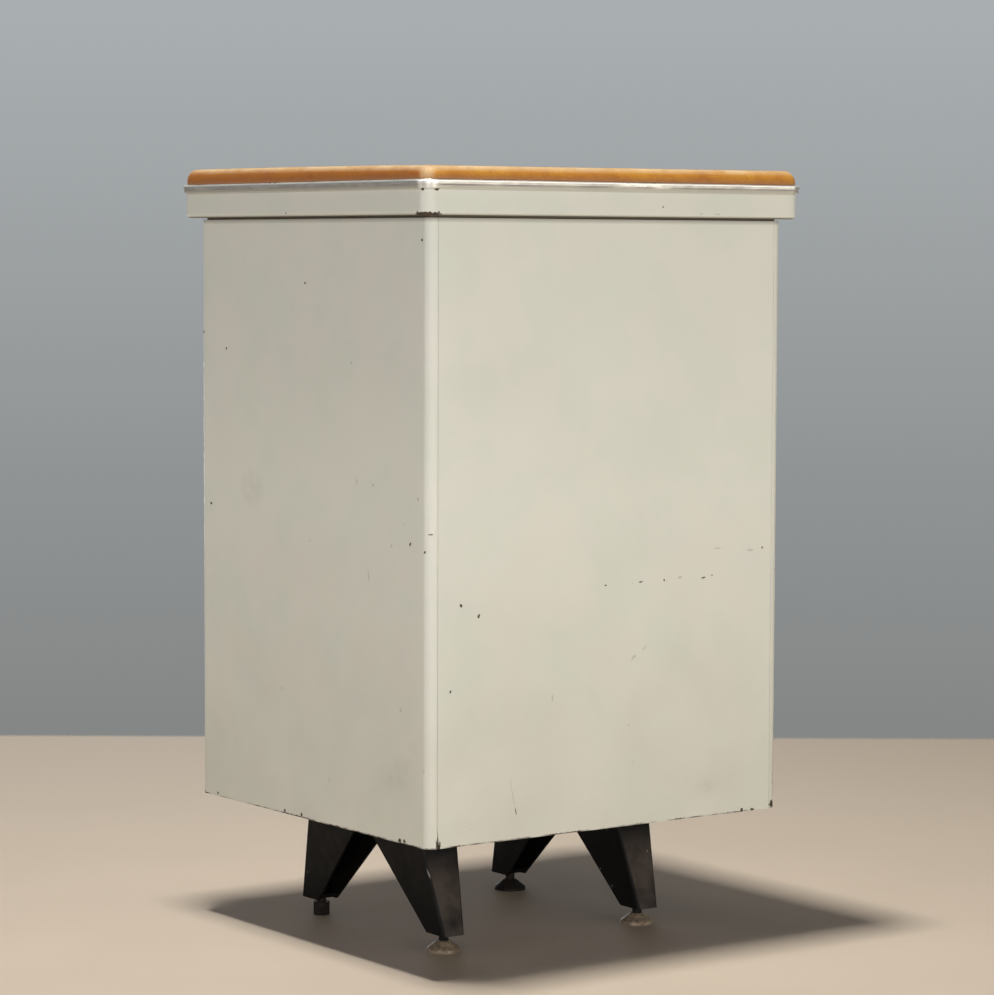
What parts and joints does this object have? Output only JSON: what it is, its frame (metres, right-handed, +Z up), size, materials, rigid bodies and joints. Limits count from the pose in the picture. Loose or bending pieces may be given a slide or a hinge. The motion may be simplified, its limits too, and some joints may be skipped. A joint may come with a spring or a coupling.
{
  "type": "storage cabinet",
  "caption": "Free-standing steel storage cabinet with a drawer over a hinged locking door, a shelf, an overhanging covered lid and folded splayed legs on screw feet.",
  "frame": {"origin": "on the floor, under the middle of the lid", "axes": "+Z up; the door and drawer face -Y; +X is to the right of someone facing the door"},
  "size_m": [0.4708, 0.456, 0.782],
  "materials": {
    "cream_enamel": "semi-gloss enamel, worn",
    "black_enamel": "satin enamel, dusty",
    "aluminium": "extruded, lightly tarnished",
    "tan_leather": "waxed hide, rubbed",
    "blockboard": "sawn",
    "dusty_steel": "dull, dusty",
    "zinc_steel": "zinc plated",
    "nickel": "nickel plated",
    "rubber": "moulded",
    "nylon": "moulded"
  },
  "bodies": {
    "cabinet": {"back_panel": "cream_enamel", "base_pan": "cream_enamel", "base_pan_edges": "cream_enamel", "bottom_rail": "cream_enamel", "door_bumpers": "rubber", "door_pins": "zinc_steel", "door_stops": "zinc_steel", "door_washer": "nylon", "foot_plates": "black_enamel", "leg_back_left": "black_enamel", "leg_back_right": "black_enamel", "leg_bolts": "zinc_steel", "leg_front_left": "black_enamel", "leg_front_right": "black_enamel", "leg_nuts": "zinc_steel", "leg_plate_left": "black_enamel", "leg_plate_right": "black_enamel", "lid_apron": "cream_enamel", "lid_board": "blockboard", "lid_cover": "tan_leather", "lid_screws": "zinc_steel", "lid_trim": "aluminium", "middle_rail": "cream_enamel", "runner_brackets": "zinc_steel", "runner_left": "zinc_steel", "runner_right": "zinc_steel", "shelf": "cream_enamel", "shelf_clips": "zinc_steel", "shelf_strips": "zinc_steel", "side_panel_left": "cream_enamel", "side_panel_right": "cream_enamel", "top_pan": "cream_enamel", "top_rail": "cream_enamel"},
    "door": {"door_skin": "cream_enamel", "door_liner": "cream_enamel", "door_pull": "aluminium", "door_pull_rivets": "zinc_steel", "lock_case": "nickel", "lock_nut": "zinc_steel"},
    "lock": {"lock_barrel": "nickel", "lock_cam": "zinc_steel", "cam_screw": "zinc_steel"},
    "drawer": {"drawer_front": "cream_enamel", "drawer_liner": "cream_enamel", "drawer_floor": "cream_enamel", "drawer_inner_front": "cream_enamel", "drawer_back": "cream_enamel", "drawer_side_left": "cream_enamel", "drawer_side_right": "cream_enamel", "drawer_pull": "aluminium", "drawer_pull_rivets": "zinc_steel", "drawer_rail_left": "zinc_steel", "drawer_rail_right": "zinc_steel"},
    "foot_back_left": {"foot_screw_back_left": "zinc_steel", "glide_back_left": "dusty_steel"},
    "foot_back_right": {"foot_screw_back_right": "zinc_steel", "glide_back_right": "dusty_steel"},
    "foot_front_left": {"foot_screw_front_left": "zinc_steel", "glide_front_left": "dusty_steel"},
    "foot_front_right": {"foot_screw_front_right": "zinc_steel"}
  },
  "joints": [
    {"name": "drawer_slide", "type": "slide", "parent": "cabinet", "child": "drawer", "axis": [0, -1, 0], "range_m": [0, 0.29]},
    {"name": "door_swing", "type": "hinge", "parent": "cabinet", "child": "door", "pos_m": [-0.18675, -0.20405, 0.357], "axis": [0, 0, -1], "range_deg": [0, 110]},
    {"name": "lock_turn", "type": "hinge", "parent": "door", "child": "lock", "pos_m": [0.17275, -0.21125, 0.378], "axis": [0, -1, 0], "range_deg": [0, 90]},
    {"name": "foot_back_left_screw", "type": "slide", "parent": "cabinet", "child": "foot_back_left", "axis": [0, 0, 1], "range_m": [-0.012, 0.005]},
    {"name": "foot_back_right_screw", "type": "slide", "parent": "cabinet", "child": "foot_back_right", "axis": [0, 0, 1], "range_m": [-0.012, 0.005]},
    {"name": "foot_front_left_screw", "type": "slide", "parent": "cabinet", "child": "foot_front_left", "axis": [0, 0, 1], "range_m": [-0.012, 0.005]},
    {"name": "foot_front_right_screw", "type": "slide", "parent": "cabinet", "child": "foot_front_right", "axis": [0, 0, 1], "range_m": [-0.012, 0.005]}
  ]
}
